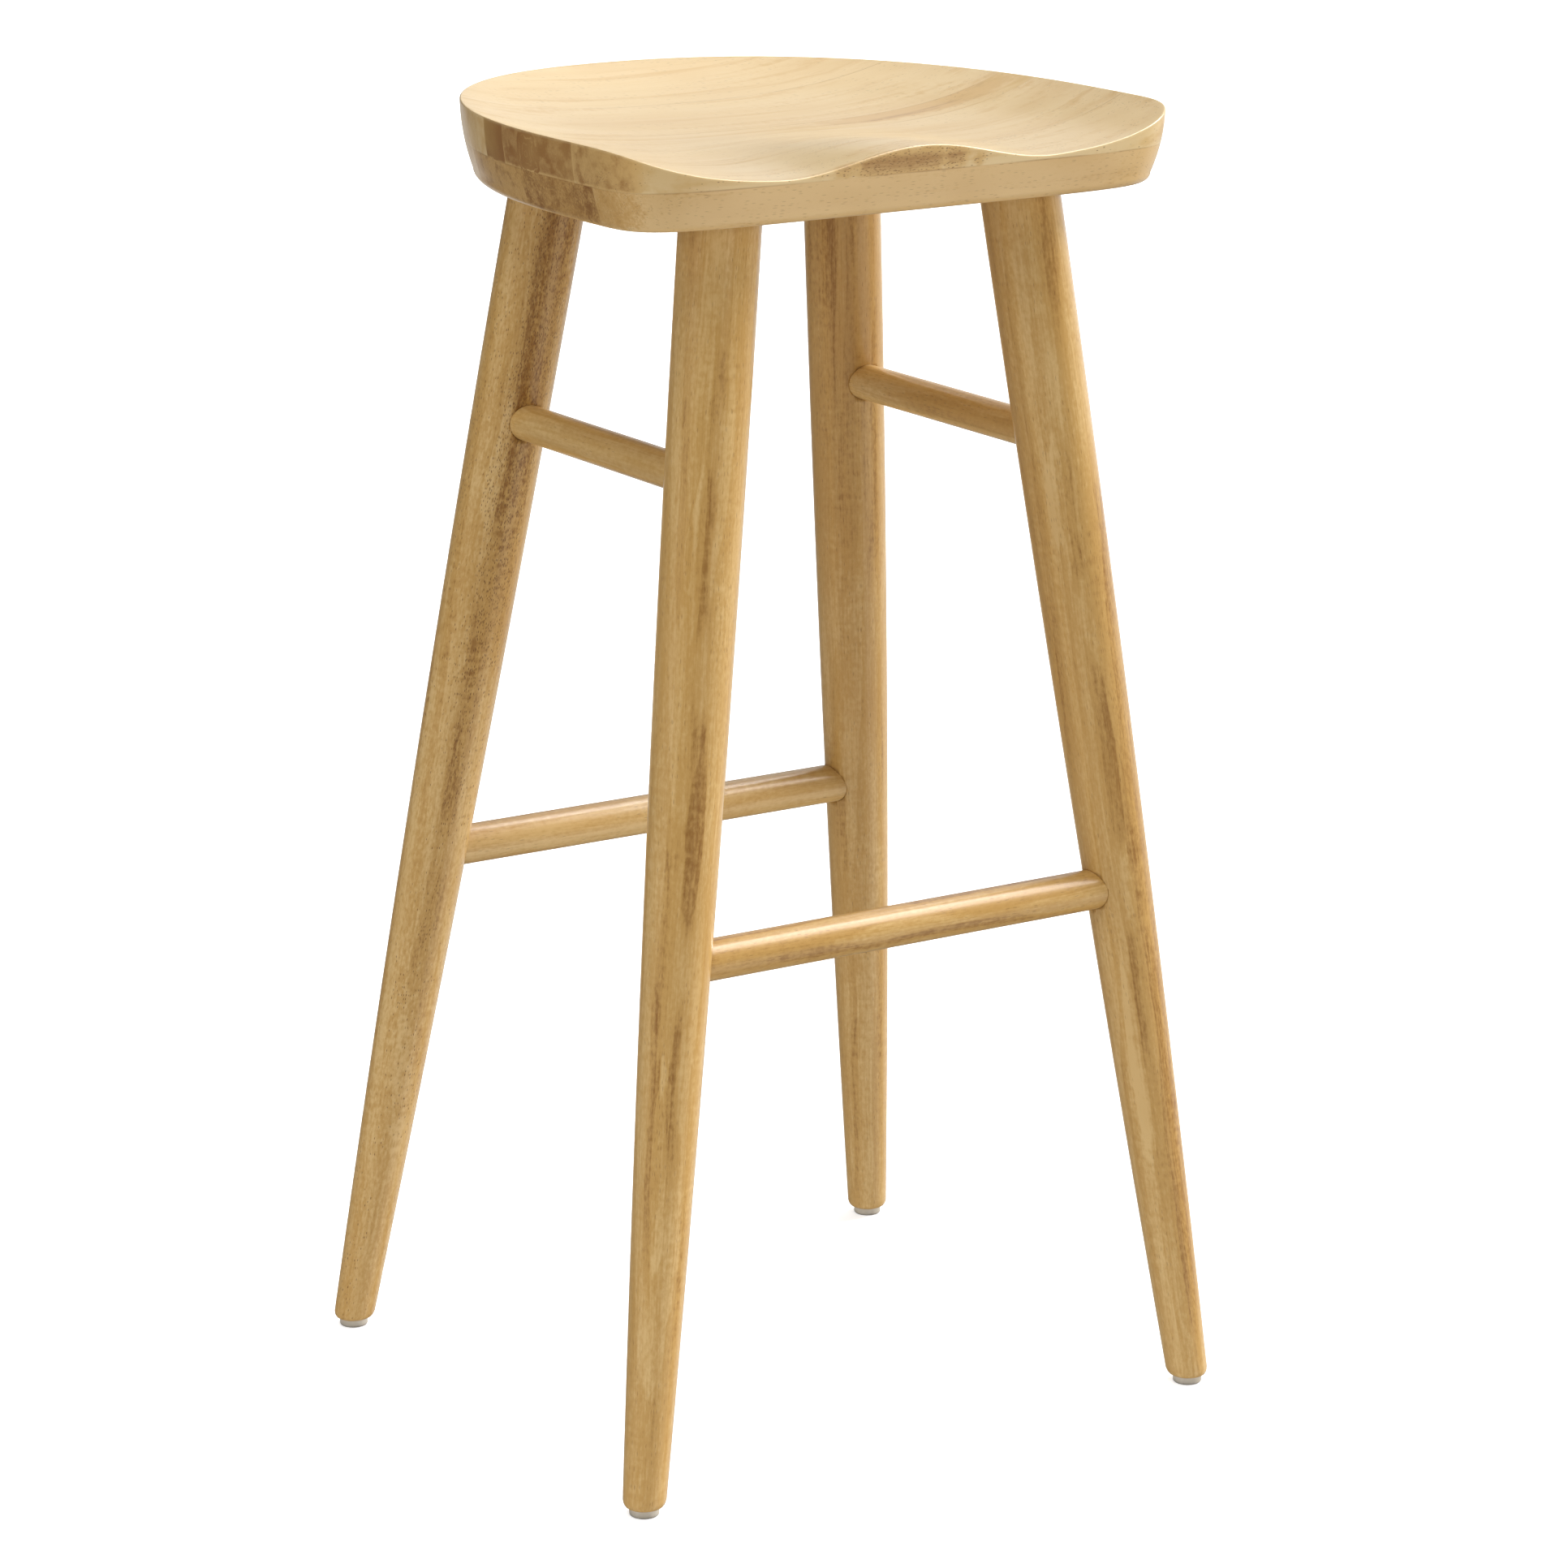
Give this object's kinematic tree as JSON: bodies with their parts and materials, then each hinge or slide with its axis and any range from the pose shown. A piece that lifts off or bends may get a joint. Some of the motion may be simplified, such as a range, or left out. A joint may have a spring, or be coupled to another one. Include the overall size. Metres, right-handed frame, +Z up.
{
  "type": "bar stool with footrest",
  "caption": "Backless bar stool: carved saddle seat on splayed turned legs, joined by dowel stretchers, the low front one a footrest.",
  "frame": {"origin": "on the floor, under the middle of the four feet", "axes": "+Z up, +X to the stool's own left-to-right as seen from the front, -Y towards the front, where the footrest is"},
  "size_m": [0.3994, 0.3757, 0.762],
  "materials": {
    "seat_upper_front": "satin clear lacquer",
    "seat_upper_second": "satin clear lacquer",
    "seat_upper_middle": "satin clear lacquer",
    "seat_upper_fourth": "satin clear lacquer",
    "seat_upper_rear": "satin clear lacquer",
    "seat_lower_front": "satin clear lacquer",
    "seat_lower_second": "satin clear lacquer",
    "seat_lower_middle": "satin clear lacquer",
    "seat_lower_fourth": "satin clear lacquer",
    "seat_lower_rear": "satin clear lacquer",
    "leg_front_left": "satin clear lacquer",
    "leg_front_right": "satin clear lacquer",
    "leg_rear_left": "satin clear lacquer",
    "leg_rear_right": "satin clear lacquer",
    "footrest_front": "satin clear lacquer",
    "stretcher_rear": "satin clear lacquer",
    "stretcher_left": "satin clear lacquer",
    "stretcher_right": "satin clear lacquer",
    "glide_front_left": "smooth moulded plastic",
    "glide_front_right": "smooth moulded plastic",
    "glide_rear_left": "smooth moulded plastic",
    "glide_rear_right": "smooth moulded plastic",
    "glide_nail_front_left": "plain bright steel",
    "glide_nail_front_right": "plain bright steel",
    "glide_nail_rear_left": "plain bright steel",
    "glide_nail_rear_right": "plain bright steel"
  },
  "bodies": {
    "root": {"seat_upper_front": "seat_upper_front", "seat_upper_second": "seat_upper_second", "seat_upper_middle": "seat_upper_middle", "seat_upper_fourth": "seat_upper_fourth", "seat_upper_rear": "seat_upper_rear", "seat_lower_front": "seat_lower_front", "seat_lower_second": "seat_lower_second", "seat_lower_middle": "seat_lower_middle", "seat_lower_fourth": "seat_lower_fourth", "seat_lower_rear": "seat_lower_rear", "leg_front_left": "leg_front_left", "leg_front_right": "leg_front_right", "leg_rear_left": "leg_rear_left", "leg_rear_right": "leg_rear_right", "footrest_front": "footrest_front", "stretcher_rear": "stretcher_rear", "stretcher_left": "stretcher_left", "stretcher_right": "stretcher_right", "glide_front_left": "glide_front_left", "glide_front_right": "glide_front_right", "glide_rear_left": "glide_rear_left", "glide_rear_right": "glide_rear_right", "glide_nail_front_left": "glide_nail_front_left", "glide_nail_front_right": "glide_nail_front_right", "glide_nail_rear_left": "glide_nail_rear_left", "glide_nail_rear_right": "glide_nail_rear_right"}
  },
  "joints": []
}
